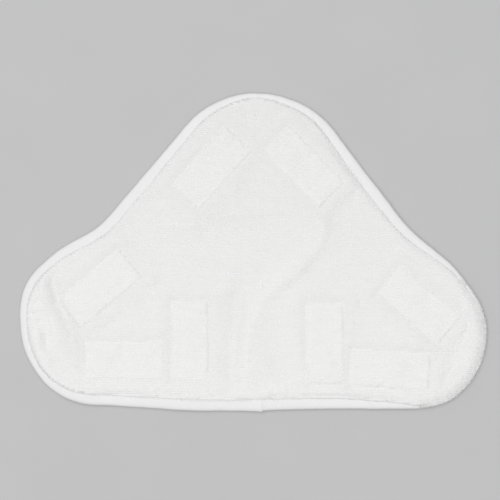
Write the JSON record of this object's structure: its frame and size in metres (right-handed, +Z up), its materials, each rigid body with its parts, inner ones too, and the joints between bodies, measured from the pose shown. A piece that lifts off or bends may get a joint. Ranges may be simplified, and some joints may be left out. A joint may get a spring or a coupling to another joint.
{
  "type": "steam mop pad",
  "caption": "Triangular white terry cleaning pad for a steam mop, with a bound edge and loop fastener strips sewn to its underside.",
  "frame": {"origin": "middle of the pad's bounding box in plan, on the plane that the loop strips rest on", "axes": "+Z up, out of the terry cleaning face; +X along the long straight edge; +Y towards the crown, the rounded point opposite that edge"},
  "size_m": [0.2901, 0.1991, 0.0075],
  "materials": {
    "terry": "matte",
    "core_cloth": "matte",
    "backing_knit": "matte",
    "binding_tape": "matte",
    "loop_tape": "matte",
    "thread": "satin"
  },
  "bodies": {
    "root": {"terry_face": "terry", "absorbent_core": "core_cloth", "backing_cloth": "backing_knit", "edge_binding": "binding_tape", "binding_needle_thread": "thread", "binding_bobbin_thread": "thread", "fastener_strip_crown_left": "loop_tape", "strip_thread_crown_left": "thread", "fastener_strip_crown_right": "loop_tape", "strip_thread_crown_right": "thread", "fastener_strip_left_wing_slant": "loop_tape", "strip_thread_left_wing_slant": "thread", "fastener_strip_left_wing_base": "loop_tape", "strip_thread_left_wing_base": "thread", "fastener_strip_left_wing_inner": "loop_tape", "strip_thread_left_wing_inner": "thread", "fastener_strip_right_wing_slant": "loop_tape", "strip_thread_right_wing_slant": "thread", "fastener_strip_right_wing_base": "loop_tape", "strip_thread_right_wing_base": "thread", "fastener_strip_right_wing_inner": "loop_tape", "strip_thread_right_wing_inner": "thread"}
  },
  "joints": []
}
